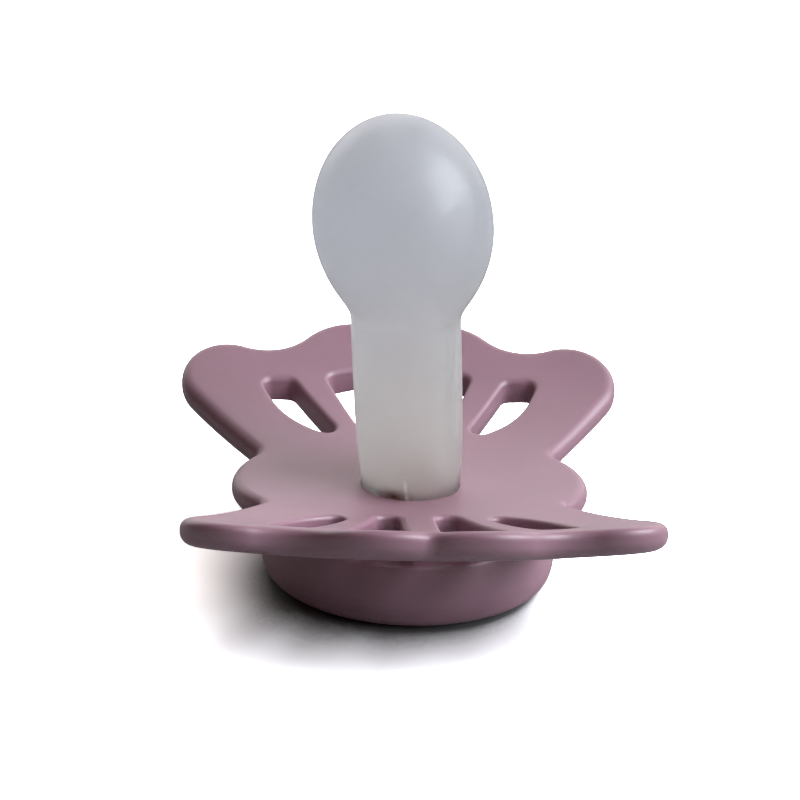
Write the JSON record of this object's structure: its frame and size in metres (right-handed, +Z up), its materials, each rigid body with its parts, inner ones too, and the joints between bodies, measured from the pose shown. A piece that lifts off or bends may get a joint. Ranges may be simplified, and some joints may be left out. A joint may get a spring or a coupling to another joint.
{
  "type": "silicone soother",
  "caption": "Baby soother with a hollow silicone teat, a dished butterfly shield with air vents and a round knob that it stands on.",
  "frame": {"origin": "centre of the knob's flat foot, on the teat's axis", "axes": "+Z up the teat's axis towards its tip, +Y from wing to wing of the shield (its long way), +X across the shield's waist"},
  "size_m": [0.0416, 0.052, 0.0433],
  "materials": {
    "shield_plastic": "satin dusty mauve polypropylene",
    "silicone": "clear to milky, softly translucent silicone",
    "plug_plastic": "satin dusty mauve polypropylene",
    "knob_plastic": "satin dusty mauve polypropylene"
  },
  "bodies": {
    "root": {"shield": "shield_plastic", "teat": "silicone", "core_plug": "plug_plastic", "knob": "knob_plastic"}
  },
  "joints": []
}
